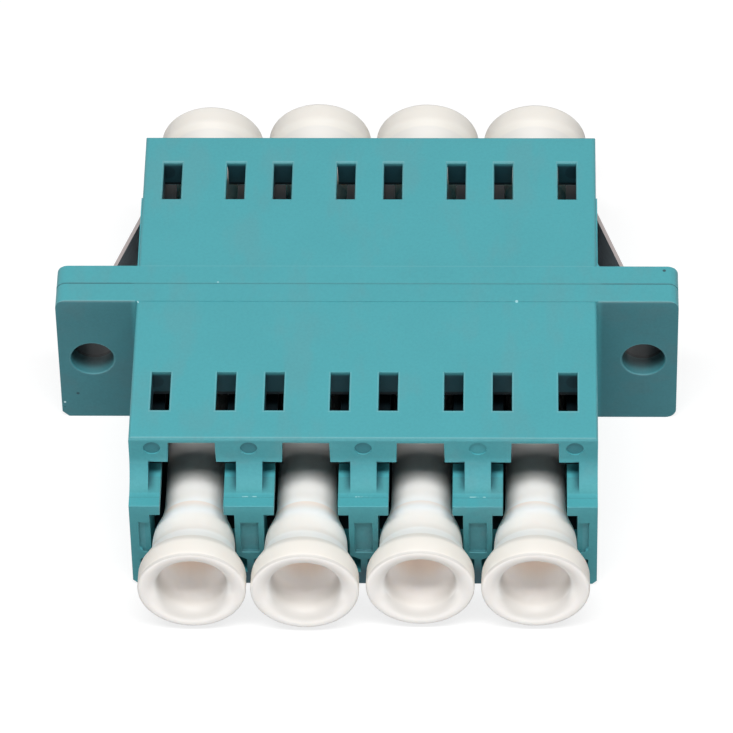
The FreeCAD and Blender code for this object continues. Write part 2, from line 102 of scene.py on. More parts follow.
# ---------------------------------------------------------------- shader building
class Wire:
    """A shader socket that Python's operators extend with Math nodes."""

    def __init__(self, shader, socket):
        self.shader = shader
        self.socket = socket

    def math(self, operation, other=None, clamp=False):
        inputs = {0: self} if other is None else {0: self, 1: other}
        settings = {"operation": operation, "use_clamp": clamp}
        return self.shader.node("ShaderNodeMath", settings, inputs)

    def reflected(self, operation, other):
        return self.shader.node("ShaderNodeMath", {"operation": operation}, {0: other, 1: self})

    def __add__(self, other):
        return self.math("ADD", other)

    def __radd__(self, other):
        return self.reflected("ADD", other)

    def __sub__(self, other):
        return self.math("SUBTRACT", other)

    def __rsub__(self, other):
        return self.reflected("SUBTRACT", other)

    def __mul__(self, other):
        return self.math("MULTIPLY", other)

    def __rmul__(self, other):
        return self.reflected("MULTIPLY", other)

    def __truediv__(self, other):
        return self.math("DIVIDE", other)

    def __rtruediv__(self, other):
        return self.reflected("DIVIDE", other)

    def clamped(self):
        return self.math("ADD", 0.0, clamp=True)

    def between(self, low, high):
        """A smooth step from 0 at low to 1 at high."""
        settings = {"interpolation_type": "SMOOTHSTEP"}
        inputs = {"Value": self, "From Min": low, "From Max": high}
        return self.shader.node("ShaderNodeMapRange", settings, inputs)

    def band(self, low, high, edge=SOFT_EDGE):
        """1 between two values, 0 outside them."""
        return self.between(low - edge, low) * (1.0 - self.between(high, high + edge))

    def inside(self, half, edge=SOFT_EDGE):
        """1 within a half width either side of 0."""
        return 1.0 - self.math("ABSOLUTE").between(half, half + edge)


class PortGrid:
    """The ports stand in a row, four of them, one spacing apart."""
    spacing = 6.25 * MM

    @classmethod
    def offset(cls, across, shift):
        """Distance across from the nearest divider's middle, or from a port's with shift 0.5."""
        turns = (across / cls.spacing + (shift + 0.5)).math("FRACT")
        return (turns - 0.5) * cls.spacing


class Shader:
    """One material under construction."""

    def __init__(self, name):
        self.material = bpy.data.materials.new(name)
        self.material.use_nodes = True
        self.tree = self.material.node_tree
        self.tree.nodes.clear()
        self.place = self.node("ShaderNodeTexCoord", outlet="Object")

    def node(self, kind, settings=None, inputs=None, outlet=0):
        """Add a node: its settings first, then its sockets' values or links."""
        made = self.tree.nodes.new(kind)
        for name, setting in (settings or {}).items():
            setattr(made, name, setting)
        for name, given in (inputs or {}).items():
            if isinstance(given, Wire):
                self.tree.links.new(given.socket, made.inputs[name])
            else:
                made.inputs[name].default_value = given
        return Wire(self, made.outputs[outlet])

    def noise(self, scale, detail=2.0, roughness=0.5, stretch=None):
        """Noise over the object's own coordinates, scale in cycles per metre."""
        place = self.place
        if stretch:
            place = self.node("ShaderNodeMapping", {}, {"Vector": place, "Scale": stretch})
        inputs = {"Vector": place, "Scale": scale, "Detail": detail, "Roughness": roughness}
        return self.node("ShaderNodeTexNoise", {}, inputs)

    def mix(self, factor, first, second, blend="MIX"):
        """Mix two colours."""
        made = self.tree.nodes.new("ShaderNodeMix")
        made.data_type = "RGBA"
        made.blend_type = blend
        for place, given in ((0, factor), (6, first), (7, second)):
            if isinstance(given, Wire):
                self.tree.links.new(given.socket, made.inputs[place])
            else:
                made.inputs[place].default_value = given
        return Wire(self, made.outputs[2])

    def tinted(self, factor, colour, tint):
        """The colour, multiplied by a tint where the factor is 1."""
        tint = tint if isinstance(tint, Wire) else opaque(tint)
        return self.mix(factor, colour, self.mix(1.0, colour, tint, "MULTIPLY"))

    def bump(self, height, strength, distance):
        inputs = {"Height": height, "Strength": strength, "Distance": distance}
        return self.node("ShaderNodeBump", {}, inputs)

    def near(self, centre, radius):
        """1 inside a small ball about a point, 0 outside, with a soft edge."""
        gap = self.node("ShaderNodeVectorMath", {"operation": "DISTANCE"},
                        {0: self.place, 1: centre}, outlet="Value")
        return 1.0 - gap.between(radius * 0.6, radius)

    def axes(self):
        """The three object coordinates, across the ports, along them and up."""
        return [self.node("ShaderNodeSeparateXYZ", {}, {0: self.place}, outlet=axis)
                for axis in "XYZ"]

    def facing_ends(self):
        """0 on a surface that faces up or sideways, 1 on one that faces along the ports."""
        normal = self.node("ShaderNodeTexCoord", outlet="Normal")
        along = self.node("ShaderNodeSeparateXYZ", {}, {0: normal}, outlet="Y")
        return along.math("ABSOLUTE").between(0.15, 0.95)

    def turning_up(self, low, high, end):
        """1 on a rounded corner between a top and an end face, 0 on both of those faces."""
        normal = self.node("ShaderNodeTexCoord", outlet="Normal")
        along = self.node("ShaderNodeSeparateXYZ", {}, {0: normal}, outlet="Y").math("ABSOLUTE")
        upward = self.node("ShaderNodeSeparateXYZ", {}, {0: normal}, outlet="Z")
        return along.between(low, high) * (1.0 - along.between(end, 1.0)) * upward.between(0.1, 0.5)

    def round_spot(self, across, up, centre, radius):
        """1 inside a round spot, 0 outside."""
        wide, high = across - centre[0], up - centre[1]
        return 1.0 - (wide * wide + high * high).math("SQRT").between(radius * 0.94, radius * 1.04)

    def finish(self, **inputs):
        named = {name.replace("_", " "): given for name, given in inputs.items()}
        surface = self.node("ShaderNodeBsdfPrincipled", {}, named)
        self.node_output(surface)
        return self.material

    def node_output(self, surface):
        output = self.tree.nodes.new("ShaderNodeOutputMaterial")
        self.tree.links.new(surface.socket, output.inputs["Surface"])


def opaque(colour):
    return (*colour, 1.0)


# ---------------------------------------------------------------- mesh building
def merged_mesh(node):
    """A bmesh of a CAD node with its doubles merged and its flat faces made whole."""
    mesh = bmesh.new()
    mesh.from_mesh(NODES[node].data)
    bmesh.ops.remove_doubles(mesh, verts=mesh.verts, dist=MERGE)
    bmesh.ops.dissolve_limit(mesh, angle_limit=FLAT, verts=mesh.verts, edges=mesh.edges)
    return mesh


def bevel(mesh, edges, width, segments):
    bmesh.ops.bevel(mesh, geom=edges, affect="EDGES", offset=width, offset_type="OFFSET",
                    segments=segments, profile=0.5, material=-1, clamp_overlap=True)


def round_ears(mesh, rounding):
    """Turn the cut corners of the flange's ears into round ones, all but the lower left one."""
    corners = []
    for edge in mesh.edges:
        if len(edge.link_faces) != 2:
            continue
        first, second = (vert.co for vert in edge.verts)
        through = abs(first.y - second.y)
        at_ear = min(abs(first.x), abs(second.x)) > EAR_CORNERS
        lower_left = max(first.x, first.z) <= EAR_MIDDLE
        straight = through > EAR_THICK and edge.calc_length() < 1.05 * through
        half_turn = HALF_TURN[0] < edge.calc_face_angle() < HALF_TURN[1]
        if at_ear and not lower_left and straight and half_turn:
            corners.append(edge)
    bevel(mesh, corners, rounding, segments=4)


def soften_edges(mesh, width):
    """Break the long square outer edges that stand clear of all fine detail."""
    square = []
    for edge in mesh.edges:
        if len(edge.link_faces) != 2 or not edge.is_convex or edge.calc_length() < LONG_EDGE:
            continue
        nearest = min(other.calc_length() for vert in edge.verts for other in vert.link_edges)
        if edge.calc_face_angle() > SQUARE and nearest > FINE_DETAIL:
            square.append(edge)
    bevel(mesh, square, width, segments=1)


def add_piece(name, mesh, material, node):
    """Turn a bmesh into an object that stands for a CAD node and rides with its body."""
    for face in mesh.faces:
        face.smooth = True
    for edge in mesh.edges:
        edge.smooth = len(edge.link_faces) == 2 and edge.calc_face_angle() < CREASE
    data = bpy.data.meshes.new(name)
    mesh.to_mesh(data)
    mesh.free()
    piece = bpy.data.objects.new(name, data)
    bpy.context.scene.collection.objects.link(piece)
    data.materials.append(material)
    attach(piece, BODY_OF[node])
    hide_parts(node)
    return piece


def cap_section(sizes, rim, length):
    """The corners of a cap's section: back from the rim's face, radius, rounding."""
    return [
        (sizes.funnel_depth + sizes.web, 0.0, 0.0),
        (sizes.funnel_depth + sizes.web, sizes.bore, 0.0),
        (length, sizes.bore, 0.0),
        (length, sizes.stem, sizes.stem_end_round),
        (sizes.collar_start + sizes.shoulder, sizes.stem, sizes.stem_round),
        (sizes.collar_start, sizes.collar, sizes.collar_round),
        (sizes.flare_start, sizes.waist, sizes.collar_round),
        (sizes.rim_length, rim - sizes.rim_draft, sizes.rim_round),
        (0.0, rim, sizes.lip_round),
        (0.0, sizes.mouth, sizes.mouth_round),
        (sizes.funnel_depth, sizes.funnel_end, sizes.floor_round),
        (sizes.funnel_depth, 0.0, 0.0),
    ]


def turned_cap(node, sizes):
    """A cap's section, from the bore's open end round by the rim to the web, spun about
    the cap's own axis, with its corners rounded first."""
    low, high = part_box(node)
    outward = -1.0 if low.y < 0 else 1.0
    face = low.y if low.y < 0 else high.y
    axis = Vector(((low.x + high.x) / 2, face, (low.z + high.z) / 2))
    section = cap_section(sizes, (high.x - low.x) / 2, high.y - low.y)
    mesh = bmesh.new()
    points = [mesh.verts.new(axis + Vector((0.0, -outward * back, radius)))
              for back, radius, _ in section]
    for first, second in zip(points, points[1:]):
        mesh.edges.new((first, second))
    for point, (_, _, rounding) in zip(points, section):
        if rounding:
            bmesh.ops.bevel(mesh, geom=[point], affect="VERTICES", offset=rounding,
                            offset_type="OFFSET", segments=6, profile=0.5, material=-1)
    bmesh.ops.spin(mesh, geom=mesh.verts[:] + mesh.edges[:], cent=axis, axis=(0, 1, 0),
                   angle=math.tau, steps=sizes.steps, use_merge=True)
    bmesh.ops.remove_doubles(mesh, verts=mesh.verts, dist=MERGE)
    bmesh.ops.recalc_face_normals(mesh, faces=mesh.faces)
    return mesh


# ---------------------------------------------------------------- settings
def colour_setting(name, description, default):
    return FloatVectorProperty(name=name, description=description, subtype="COLOR", size=3,
                               default=default, min=0.0, max=1.0)


def length_setting(name, description, default):
    return FloatProperty(name=name, description=description, unit="LENGTH", default=default,
                         min=0.0)


def angle_setting(name, description, degrees):
    return FloatProperty(name=name, description=description, subtype="ANGLE", unit="ROTATION",
                         default=math.radians(degrees))


class HousingSettings(bpy.types.PropertyGroup):
    colour: colour_setting("Plastic", "Colour of the moulded housing", (0.057, 0.312, 0.351))
    edge_round: length_setting(
        "Edge round", "Most that a moulded edge is rounded, less beside fine detail", 0.11 * MM)
    ear_round: length_setting(
        "Ear round", "How far the ears' cut corners are rounded", 0.30 * MM)
    edge_break: length_setting(
        "Edge break", "Width of the broken long square edges", 0.07 * MM)
    edge_steps: IntProperty(
        name="Edge steps", description="Segments in each rounded edge", default=2, min=1)


class CapSettings(bpy.types.PropertyGroup):
    colour: colour_setting("Cap plastic", "Colour of the soft caps", (0.940, 0.945, 0.935))
    # Painted light and shade: the colours below are copies of the cap plastic, darker on the flare,
    # stem, collar, rear caps' cones, rim's face and lip, lighter and warmer down the funnel.
    flare_shade_colour: colour_setting(
        "Flare plastic", "Colour of the thick flare at the grip", (0.775, 0.742, 0.690))
    stem_shade_colour: colour_setting("Stem plastic", "Colour of the stem", (0.830, 0.800, 0.760))
    collar_shade_colour: colour_setting(
        "Collar plastic", "Colour of the collar", (0.800, 0.765, 0.720))
    rear_cone_shade_colour: colour_setting(
        "Rear cone plastic", "Colour of the rear caps' cones", (0.700, 0.680, 0.650))
    # Painted shade: the rim's face darker than the cap plastic.
    ring_colour: colour_setting(
        "Ring plastic", "Colour of the rim's face", (0.860, 0.830, 0.800))
    funnel_light_colour: colour_setting(
        "Funnel plastic", "Colour deep in the funnel", (0.930, 0.815, 0.735))
    funnel_middle_light_colour: colour_setting(
        "Funnel middle plastic", "Colour half way down the funnel", (0.980, 0.950, 0.925))
    lip_edge_shade_colour: colour_setting(
        "Lip edge plastic", "Colour of the rim's outer edge", (0.560, 0.540, 0.515))
    lip_shade_colour: colour_setting(
        "Lip plastic", "Colour of the funnel at its mouth", (0.590, 0.565, 0.535))
    stem: length_setting("Stem", "Radius of the stem in the port", 1.68 * MM)
    stem_end_round: length_setting(
        "Stem end round", "Rounding of the stem's inner end", 0.05 * MM)
    stem_round: length_setting(
        "Stem round", "How far the corner from the stem to the shoulder is rounded", 0.70 * MM)
    collar: length_setting("Collar", "Radius where the shoulder meets the collar", 2.24 * MM)
    collar_start: length_setting(
        "Collar start", "From the rim's face back to the collar's start", 3.88 * MM)
    collar_round: length_setting(
        "Collar round", "How far the collar's two corners are rounded", 0.40 * MM)
    shoulder: length_setting(
        "Shoulder", "Length of the cone from the stem to the collar", 1.50 * MM)
    waist: length_setting("Waist", "Radius of the collar where the flare starts", 2.31 * MM)
    flare_start: length_setting(
        "Flare start", "From the rim's face back to the flare's start", 2.48 * MM)
    rim_length: length_setting("Rim length", "Length of the straight rim", 1.20 * MM)
    rim_draft: length_setting(
        "Rim draft", "How much smaller the rim's radius is where it starts", 0.02 * MM)
    rim_round: length_setting(
        "Rim round", "Rounding of the corner from the flare to the rim", 0.14 * MM)
    lip_round: length_setting("Lip round", "Rounding of the rim's outer edge", 0.18 * MM)
    mouth: length_setting("Mouth", "Radius of the funnel's mouth", 2.00 * MM)
    mouth_round: length_setting("Mouth round", "Rounding of the rim's inner edge", 0.68 * MM)
    funnel_end: length_setting("Funnel end", "Radius of the funnel's floor", 1.20 * MM)
    funnel_depth: length_setting(
        "Funnel depth", "From the rim's face to the funnel's floor", 4.50 * MM)
    floor_round: length_setting(
        "Floor round", "Rounding between the funnel and its floor", 0.25 * MM)
    web: length_setting("Web", "Wall between the funnel and the bore", 1.30 * MM)
    bore: length_setting("Bore", "Radius of the bore over the barrel", 1.48 * MM)
    steps: IntProperty(
        name="Turn steps", description="Segments round each cap", default=96, min=24)


class ClipSettings(bpy.types.PropertyGroup):
    colour: colour_setting("Spring steel", "Colour of the clips' strip", (0.67, 0.71, 0.74))
    cut_colour: colour_setting(
        "Cut edge", "Colour of the strip's cut edges", (0.42, 0.37, 0.36))


class SleeveSettings(bpy.types.PropertyGroup):
    colour: colour_setting("Ceramic", "Colour of the sleeves", (0.86, 0.86, 0.83))
    ring_colour: colour_setting(
        "Ground rings", "Colour of the fine rings from grinding", (0.80, 0.80, 0.77))


class StageSettings(bpy.types.PropertyGroup):
    elevation: angle_setting("Camera height", "Angle of the camera above the horizon", 46.0)
    yaw: angle_setting(
        "Camera yaw", "Turn of the camera away from looking along +Y", -2.015)
    roll: angle_setting(
        "Camera roll", "Turn of the camera about its own line of sight", -1.342)
    distance: length_setting(
        "Camera distance", "From the camera to the point it looks at", 361.6 * MM)
    lens: FloatProperty(
        name="Lens", description="Focal length in millimetres", unit="CAMERA", default=314.6)
    sensor: FloatProperty(
        name="Sensor", description="Width of the sensor in millimetres", unit="CAMERA",
        default=36.0)
    aim: FloatVectorProperty(
        name="Aim", description="The point that the camera looks at", subtype="TRANSLATION",
        unit="LENGTH", size=3, default=(-0.125 * MM, 0.0, 2.645 * MM))
    table_size: length_setting("Table size", "Half the table's side", 1.5)
    room: FloatProperty(
        name="Room", description="Strength of the dim room about the adapter", subtype="FACTOR",
        default=0.13, min=0.0, max=1.0)


# ---------------------------------------------------------------- materials
def mm(*lengths):
    """Lengths in millimetres, in metres."""
    return tuple(length * MM for length in lengths)


# Where a housing's features lie. UP is a height, OUT a distance from the seam towards an end,
# and BEYOND a distance to the side from the middle. HALF is a half width about the middle of a
# port or a divider. BEYOND and HALF may have the width of their soft edge after them.
EARS_BEYOND, OUTER_WALLS_BEYOND = mm(12.9, 0.3), mm(8.5, 0.5)
RECESS_HALF, RECESS_UP, RECESS_OUT = 0.50 * MM, mm(2.60, 4.98), mm(13.9, 14.12)
SILL_UP, SILL_OUT = mm(2.45, 2.70), mm(13.85, 14.4)
MARK_HEIGHT, MARK_EDGE = mm(8.47, 0.47)         # the ejector pins' marks
OUTER_MARK = (11.545 * MM, MARK_HEIGHT)
OUTER_MARKS_BEYOND = 9.0 * MM
FAINT_MARK_ACROSS = mm(5.0, 8.0)
SCREW_HOLE = mm(15.45, 4.65)                    # its middle, to the side and up
SCREW_HOLE_EDGE, SCREW_HOLE_RIM = mm(1.25, 1.31)
BORE_OUT, REAR_HALF_ALONG, SEAM_HALF = mm(0.55, 1.35), mm(-0.02, 0.06), 0.08 * MM
PORT_HALF, PORT_FLOOR, PORT_TOP = 2.45 * MM, mm(0.90, 0.93), mm(8.90, 9.16)
PORT_OUT, LATCH_SLOT_UP = mm(1.5, 10.9), mm(7.66, 7.72)
WINDOW_MIDDLE = 1.795 * MM                      # to the side of its port
WINDOW_HALF, WINDOW_OUT = 0.54 * MM, mm(6.70, 9.74)
WINDOW_RIM_HALF, WINDOW_RIM_OUT, WINDOW_RIM_UP = 0.60 * MM, mm(6.80, 9.82), mm(9.14, 9.18)
FLANGE_REAR_EDGE, FLANGE_FRONT_EDGE, FLANGE_TOP = mm(1.36, 1.42), mm(-1.41, -1.34), mm(9.16, 9.20)
FLANGE_REAR_BEYOND, FLANGE_FRONT_BEYOND = 12.6 * MM, mm(12.85, 0.05)
BROW_UP = mm(8.8, 8.9)
STRIP_ASIDE, STRIP_HALF = mm(1.90, 2.36), 2.40 * MM
STRIP_UP, STRIP_OUT, STRIP_FADE = mm(5.6, 7.5), mm(6.0, 12.5), 0.8 * MM
STRIPS_BEYOND = 11.8 * MM                       # there are none further out than this
FOOT_HALF, FOOT_UP, FOOT_OUT = mm(0.4, 0.7), mm(0.9, 2.3), mm(13.8, 14.0)
GLINT_HALF, GLINT_UP, GLINT_OUT = 0.42 * MM, mm(6.2, 6.7), mm(13.36, 13.42)
SCOOP_UP, SCOOP_OUT = mm(6.3, 8.9), mm(11.95, 13.5)

# What the housing's colour is multiplied by, or turns into, at each feature. The end faces, ears,
# sill, bores, ports, brow, strips, feet and scoops get painted shade, and the rims and the glint
# get painted highlights.
CLOUD_TINT = (1.35, 0.93, 0.92)
END_FACE_SHADE_SOFT, END_FACE_SHADE_DEEP = (0.92, 0.85, 0.85), (0.84, 0.77, 0.78)
EAR_SHADE = (0.73, 0.66, 0.68)
RECESS_TINT = (1.45, 1.08, 1.08)
SILL_SHADE = (0.45, 0.42, 0.42)
MARK_TINT = (0.50, 0.56, 0.59)
BORE_DEEP_SHADE, BORE_MOUTH_SHADE = (0.030, 0.045, 0.050), (0.045, 0.160, 0.185)
BORE_REAR_SHADE, BORE_SEAM = (0.022, 0.026, 0.030), (0.002, 0.002, 0.003)
PORT_SHADE, LATCH_SLOT_SHADE = (0.05, 0.04, 0.05), (0.22, 0.22, 0.25)
RIM_HIGHLIGHT = (0.42, 0.62, 0.64)
BROW_SHADE = (0.78, 0.80, 0.78)
STRIP_SHADE = (0.30, 0.40, 0.44)
FOOT_SHADE = (0.66, 0.38, 0.42)
GLINT = (0.50, 0.78, 0.78)
SCOOP_SHADE = (0.90, 0.86, 0.84)

# Dark specks of dust and light specks on the housing, and one painted glint on the flange's front
# edge: place, radius and colour
HOUSING_SPECKS_AND_GLINT = (
    (Vector((-16.40, -1.37, 1.86)) * MM, 0.11 * MM, (0.012, 0.050, 0.065)),
    (Vector((-17.17, -1.37, 1.14)) * MM, 0.08 * MM, (0.60, 0.80, 0.82)),
    (Vector((-17.20, -1.37, 0.75)) * MM, 0.06 * MM, (0.020, 0.090, 0.100)),
    (Vector((-12.72, -1.42, 9.25)) * MM, 0.07 * MM, (0.62, 0.82, 0.84)),
    (Vector((-8.30, 0.10, 9.28)) * MM, 0.07 * MM, (0.30, 0.55, 0.58)),
    # A painted glint on the flange's front edge.
    (Vector((8.35, -1.36, 9.29)) * MM, 0.10 * MM, (0.35, 0.60, 0.63)),
    (Vector((16.57, 1.05, 9.28)) * MM, 0.12 * MM, (0.015, 0.060, 0.075)),
)


class HousingPlaces:
    """The coordinates on a housing that its colours follow."""

    def __init__(self, shader):
        self.across, self.along, self.up = shader.axes()
        self.facing = shader.facing_ends()
        self.out = self.along.math("ABSOLUTE")
        self.side = self.across.math("ABSOLUTE")
        self.from_port = PortGrid.offset(self.across, 0.5)
        self.from_divider = PortGrid.offset(self.across, 0.0)

    def beyond(self, side, edge=0.1 * MM):
        """1 further to the side than this, 0 nearer the middle."""
        return self.side.between(side, side + edge)

    def between_ports(self):
        """1 over the inner dividers, 0 over the outer walls."""
        return 1.0 - self.beyond(*OUTER_WALLS_BEYOND)


def mottled_plastic(shader, settings, grain):
    """The housing's own colour, a little uneven."""
    tint = shader.noise(260.0, detail=3.0)
    cloud = shader.noise(420.0, detail=4.0, roughness=0.6, stretch=(1.0, 0.4, 1.0))
    light = opaque([part * 1.02 for part in settings.colour])
    dark = opaque([part * 0.92 for part in settings.colour])
    uneven = tint.between(0.35, 0.70) * 0.3 + grain.between(0.30, 0.75) * 0.6
    colour = shader.mix(uneven, light, dark)
    return shader.tinted(cloud.between(0.48, 0.66) * 0.6, colour, CLOUD_TINT)


def shaded_end_faces(shader, at, colour, fleck):
    """Painted shade on the end faces, the ears and the sill, and the dividers' recesses and pin
    marks.
    """
    # Painted shade: the faces towards the ends are made darker, unevenly with the flecks.
    end_face_shade = shader.mix(fleck.between(0.35, 0.65) * 0.5, opaque(END_FACE_SHADE_SOFT), opaque(END_FACE_SHADE_DEEP))
    colour = shader.tinted(at.facing, colour, end_face_shade)
    # Painted shade: the ears' end faces are made darker still.
    ear = at.beyond(*EARS_BEYOND) * at.facing
    colour = shader.tinted(ear, colour, EAR_SHADE)
    recess = at.from_divider.inside(RECESS_HALF) * at.up.band(*RECESS_UP) * at.out.band(*RECESS_OUT)
    colour = shader.tinted(recess, colour, RECESS_TINT)
    # Painted shade on the sill's upward faces just behind the ends.
    sill = at.up.band(*SILL_UP) * at.out.band(*SILL_OUT) * (1.0 - at.facing)
    colour = shader.tinted(sill, colour, SILL_SHADE)
    inner_marks = (shader.round_spot(at.from_divider, at.up, (0.0, MARK_HEIGHT), MARK_EDGE)
                   * (1.0 - at.beyond(OUTER_MARKS_BEYOND))
                   * (1.0 - at.across.band(*FAINT_MARK_ACROSS) * 0.8))
    outer_marks = shader.round_spot(at.side, at.up, OUTER_MARK, MARK_EDGE)
    marks = (inner_marks + outer_marks).clamped() * at.facing
    return shader.tinted(marks * 0.9, colour, MARK_TINT)


def shaded_openings(shader, at, colour):
    """Painted shade in the bores of the screw holes, with the dark seam inside them, and deep in
    the ports.
    """
    hole = shader.round_spot(at.side, at.up, SCREW_HOLE, SCREW_HOLE_EDGE) * (1.0 - at.facing)
    # Painted shade in the bores: dark deep inside, lighter at the mouth, darkest in the rear half.
    bore = shader.mix(at.out.between(*BORE_OUT), opaque(BORE_DEEP_SHADE), opaque(BORE_MOUTH_SHADE))
    colour = shader.mix(hole * 0.9, colour, bore)
    colour = shader.mix(hole * at.along.between(*REAR_HALF_ALONG), colour, opaque(BORE_REAR_SHADE))
    colour = shader.mix(hole * at.along.inside(SEAM_HALF), colour, opaque(BORE_SEAM))
    # Painted shade deep in the ports, a little less at the latch slots' height.
    port = (at.from_port.inside(PORT_HALF) * (1.0 - at.up.between(*PORT_TOP))
            * at.up.between(*PORT_FLOOR) * at.out.band(*PORT_OUT))
    port_depth_shade = shader.mix(at.up.between(*LATCH_SLOT_UP), opaque(PORT_SHADE), opaque(LATCH_SLOT_SHADE))
    return shader.tinted(port, colour, port_depth_shade)


def highlighted_rims(shader, at, colour):
    """Painted highlights on edges: windows, screw holes and the flange, front and rear."""
    # Painted highlights round the windows and the screw holes.
    from_window = at.from_port.math("ABSOLUTE") - WINDOW_MIDDLE
    window = from_window.inside(WINDOW_HALF) * at.out.band(*WINDOW_OUT)
    painted_rim_light = (from_window.inside(WINDOW_RIM_HALF) * at.out.band(*WINDOW_RIM_OUT)
            * (1.0 - window) * at.up.between(*WINDOW_RIM_UP))
    bored = shader.round_spot(at.side, at.up, SCREW_HOLE, SCREW_HOLE_EDGE)
    ring = shader.round_spot(at.side, at.up, SCREW_HOLE, SCREW_HOLE_RIM) - bored
    painted_rim_light = painted_rim_light + ring.clamped() * at.facing * 0.7
    # Painted highlights along the flange's rear and front top edges.
    top = at.up.between(*FLANGE_TOP)
    rear_edge = at.along.band(*FLANGE_REAR_EDGE) * top * (1.0 - at.beyond(FLANGE_REAR_BEYOND))
    front_edge = at.along.band(*FLANGE_FRONT_EDGE) * top * at.beyond(*FLANGE_FRONT_BEYOND)
    colour = shader.mix(rear_edge * 0.12 + front_edge * 0.2, colour, opaque(RIM_HIGHLIGHT))
    return shader.mix(painted_rim_light.clamped() * 0.13, colour, opaque(RIM_HIGHLIGHT))


def shaded_channels(shader, at, colour, fleck):
    """Painted shade on the front brow, the channels' side strips and the dividers' feet, and
    painted glints on the dividers.
    """
    # Painted shade on the rounded edge between the top and the ends.
    brow = at.facing * (1.0 - at.facing) * 4.0 * at.up.between(*BROW_UP)
    colour = shader.tinted(brow.clamped(), colour, BROW_SHADE)
    # Painted shade along the channels' side strips beside the dividers.
    aside = at.from_port.math("ABSOLUTE")
    strip = (aside.between(*STRIP_ASIDE) * at.from_port.inside(STRIP_HALF)
             * at.out.band(*STRIP_OUT, STRIP_FADE) * at.up.band(*STRIP_UP)
             * (1.0 - at.beyond(STRIPS_BEYOND)))
    colour = shader.tinted(strip * 0.85, colour, STRIP_SHADE)
    # Painted shade low on the dividers' ends, between the caps.
    foot = (1.0 - at.up.between(*FOOT_UP)) * at.facing * at.out.between(*FOOT_OUT)
    foot = foot * at.from_divider.inside(*FOOT_HALF) * at.between_ports()
    colour = shader.tinted(foot, colour, FOOT_SHADE)
    glint = (at.from_divider.inside(GLINT_HALF) * at.out.band(*GLINT_OUT)
             * at.up.band(*GLINT_UP) * at.between_ports())
    return shader.mix(glint * fleck.between(0.45, 0.6) * 0.5, colour, opaque(GLINT))


def housing_plastic(settings):
    """Satin aqua moulding plastic: smooth along the sides and duller on the end faces from spark
    erosion, with painted shade on the end faces and ears, in the ports, latch windows and holes and
    along the channels, and painted highlights on rims."""
    shader = Shader("aqua_housing_plastic")
    at = HousingPlaces(shader)
    grain = shader.noise(6500.0, detail=2.0, roughness=0.6)
    fleck = shader.noise(2600.0, detail=3.0, roughness=0.7)
    colour = mottled_plastic(shader, settings, grain)
    colour = shaded_end_faces(shader, at, colour, fleck)
    colour = shaded_openings(shader, at, colour)
    colour = highlighted_rims(shader, at, colour)
    colour = shaded_channels(shader, at, colour, fleck)
    scoop = at.out.band(*SCOOP_OUT) * at.up.band(*SCOOP_UP)
    # Painted shade on the scoops' upward faces.
    colour = shader.tinted(scoop * (1.0 - at.facing), colour, SCOOP_SHADE)
    # The specks, and the painted glint among them.
    for place, size, speck in HOUSING_SPECKS_AND_GLINT:
        colour = shader.mix(shader.near(place, size), colour, opaque(speck))
    duller = (at.facing * 0.1).math("MAXIMUM", scoop * 0.3)
    return shader.finish(Base_Color=colour, Roughness=grain * 0.12 + duller + 0.36,
                         Normal=shader.bump(grain, 0.12, 0.01 * MM), Specular_IOR_Level=0.45)


# Where a cap's colours turn into one another: ASIDE is a radius, OUT a distance from the seam
STEM_TO_COLLAR_ASIDE, COLLAR_TO_FLARE_ASIDE = mm(1.90, 2.10), mm(2.60, 2.80)
SHOULDER_ASIDE, FLARE_CONE_ASIDE = mm(1.84, 2.16, 0.15), mm(2.42, 2.70, 0.08)
FUNNEL_ASIDE, FUNNEL_FLOOR_OUT = mm(1.80, 2.15), mm(12.6, 12.7)
FUNNEL_MIDDLE_OUT, FUNNEL_MOUTH_OUT = mm(14.2, 15.6), mm(15.8, 16.9)
RIM_FACE_OUT = mm(17.0, 17.1)
LOWER_HALF, WIDER_BELOW = mm(-2.2, -0.7), 0.40 * MM     # the funnel's lit part reaches lower
REAR_CAPS_ALONG = mm(-1.0, 1.0)


def cap_outside(shader, settings, colour, along, radius):
    """Stem, collar and flare, each a darker copy of the plastic as painted shade, with the cones
    between them left lighter and the rear caps' cones painted darker.
    """
    outside = shader.mix(radius.between(*STEM_TO_COLLAR_ASIDE), opaque(settings.stem_shade_colour),
                         opaque(settings.collar_shade_colour))
    outside = shader.mix(radius.between(*COLLAR_TO_FLARE_ASIDE), outside,
                         opaque(settings.flare_shade_colour))
    cones = radius.band(*SHOULDER_ASIDE) + radius.band(*FLARE_CONE_ASIDE) * 0.7
    # Painted shade on the rear caps' cones.
    rear_cap = along.between(*REAR_CAPS_ALONG)
    colour = shader.mix(rear_cap, colour, opaque(settings.rear_cone_shade_colour))
    return shader.mix((1.0 - cones).clamped() * 0.97, colour, outside)


